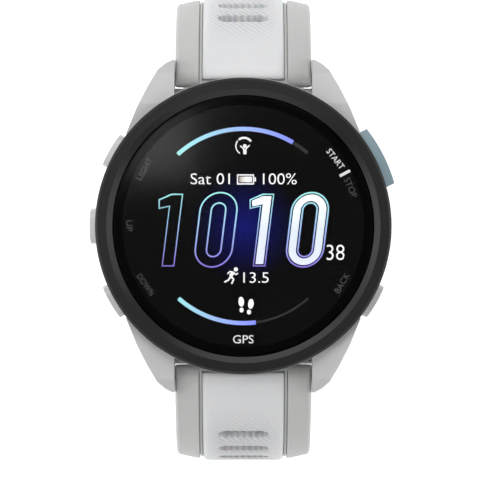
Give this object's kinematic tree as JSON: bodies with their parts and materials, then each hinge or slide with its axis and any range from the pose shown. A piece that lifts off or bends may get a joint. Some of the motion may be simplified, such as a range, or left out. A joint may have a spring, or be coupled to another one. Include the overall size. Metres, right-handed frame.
{
  "type": "running watch",
  "caption": "Round GPS running watch with a glass-covered round display, push buttons round the case and a two-tone slotted silicone strap closed into a loop by a buckle.",
  "frame": {"origin": "centre of the flat outer face of the heart-rate window, on the dial axis", "axes": "+Z out of the display, +Y towards 12 o'clock, +X towards 3 o'clock"},
  "size_m": [0.0446, 0.0698, 0.0535],
  "materials": {
    "case_polymer": "fine matt",
    "bezel_polymer": "satin with a faint turned grain",
    "cover_glass": "polished",
    "display": "lit panel",
    "silicone_grey": "fine matt",
    "silicone_white": "fine matt",
    "cap_grey": "satin",
    "cap_blue_grey": "satin",
    "seal_rubber": "matt",
    "steel": "brushed",
    "board_green": "solder mask",
    "flex_amber": "polyimide",
    "brass_gold": "plated",
    "black_plastic": "moulded",
    "battery_foil": "pouch foil",
    "sensor_glass": "polished",
    "led_green": "clear epoxy",
    "diode_dark": "clear epoxy"
  },
  "bodies": {
    "case": {"battery": "battery_foil", "battery_pad": "seal_rubber", "bezel_ring": "bezel_polymer", "board_screws": "steel", "charging_contacts": "brass_gold", "charging_port": "black_plastic", "display_flex": "flex_amber", "display_panel": "display", "gps_antenna": "brass_gold", "inner_frame": "black_plastic", "lens": "cover_glass", "lens_gasket": "seal_rubber", "light_barrier": "black_plastic", "main_board": "board_green", "mid_case": "case_polymer", "piezo_beeper": "brass_gold", "pressure_sensor": "black_plastic", "rear_cover": "case_polymer", "rear_cover_gasket": "seal_rubber", "rear_cover_screws": "steel", "sensor_board": "board_green", "sensor_leds": "led_green", "sensor_photodiodes": "diode_dark", "sensor_window": "sensor_glass", "shield_cans": "steel", "side_switches": "black_plastic", "vibration_motor": "steel"},
    "start_stop_button": {"start_stop_button": "cap_blue_grey", "start_stop_button_seal": "seal_rubber", "start_stop_button_clip": "steel"},
    "light_button": {"light_button": "cap_grey", "light_button_seal": "seal_rubber", "light_button_clip": "steel"},
    "up_button": {"up_button": "cap_grey", "up_button_seal": "seal_rubber", "up_button_clip": "steel"},
    "down_button": {"down_button": "cap_grey", "down_button_seal": "seal_rubber", "down_button_clip": "steel"},
    "back_button": {"back_button": "cap_grey", "back_button_seal": "seal_rubber", "back_button_clip": "steel"},
    "lower_strap": {"lower_strap_base": "silicone_grey", "lower_strap_inlay": "silicone_white", "lower_strap_bar_tube": "steel", "lower_strap_bar_tip": "steel"},
    "upper_strap": {"upper_strap_base": "silicone_grey", "upper_strap_inlay": "silicone_white", "upper_strap_bar_tube": "steel", "upper_strap_bar_tip": "steel", "fixed_keeper": "silicone_grey", "buckle_bar": "steel"},
    "lower_release": {"lower_strap_release_pin": "steel"},
    "upper_release": {"upper_strap_release_pin": "steel"},
    "buckle_frame": {"buckle_frame": "steel"},
    "buckle_tongue": {"buckle_tongue": "steel"},
    "free_keeper": {"free_keeper": "silicone_grey"}
  },
  "joints": [
    {"name": "start_stop_press", "type": "slide", "parent": "case", "child": "start_stop_button", "axis": [-0.891, -0.454, 0], "range_m": [0, 0.0004], "stiffness_N_per_m": 4000, "springref_m": -0.0001},
    {"name": "light_press", "type": "slide", "parent": "case", "child": "light_button", "axis": [0.866, -0.5, 0], "range_m": [0, 0.0004], "stiffness_N_per_m": 4000, "springref_m": -0.0001},
    {"name": "up_press", "type": "slide", "parent": "case", "child": "up_button", "axis": [1, 0, 0], "range_m": [0, 0.0004], "stiffness_N_per_m": 4000, "springref_m": -0.0001},
    {"name": "down_press", "type": "slide", "parent": "case", "child": "down_button", "axis": [0.866, 0.5, 0], "range_m": [0, 0.0004], "stiffness_N_per_m": 4000, "springref_m": -0.0001},
    {"name": "back_press", "type": "slide", "parent": "case", "child": "back_button", "axis": [-0.866, 0.5, 0], "range_m": [0, 0.0004], "stiffness_N_per_m": 4000, "springref_m": -0.0001},
    {"name": "lower_strap_swing", "type": "hinge", "parent": "case", "child": "lower_strap", "pos_m": [0, -0.0223, 0.0045], "axis": [-1, 0, 0], "range_deg": [0, 50]},
    {"name": "upper_strap_swing", "type": "hinge", "parent": "case", "child": "upper_strap", "pos_m": [0, 0.0223, 0.0045], "axis": [1, 0, 0], "range_deg": [0, 50]},
    {"name": "lower_release_slide", "type": "slide", "parent": "lower_strap", "child": "lower_release", "axis": [1, 0, 0], "range_m": [0, 0.0011], "stiffness_N_per_m": 600, "springref_m": -0.0006},
    {"name": "upper_release_slide", "type": "slide", "parent": "upper_strap", "child": "upper_release", "axis": [-1, 0, 0], "range_m": [0, 0.0011], "stiffness_N_per_m": 600, "springref_m": -0.0006},
    {"name": "buckle_frame_swing", "type": "hinge", "parent": "upper_strap", "child": "buckle_frame", "pos_m": [0, -0.00898, -0.03441], "axis": [1, 0, 0], "range_deg": [0, 95]},
    {"name": "buckle_tongue_swing", "type": "hinge", "parent": "upper_strap", "child": "buckle_tongue", "pos_m": [0, -0.00898, -0.03441], "axis": [-1, 0, 0], "range_deg": [0, 35]},
    {"name": "free_keeper_slide", "type": "hinge", "parent": "upper_strap", "child": "free_keeper", "pos_m": [0, 0, 0.008], "axis": [1, 0, 0], "range_deg": [-5, 14]}
  ],
  "couplings": [
    {"joint": "upper_strap_swing", "follows": "lower_strap_swing", "ratio": 1}
  ]
}
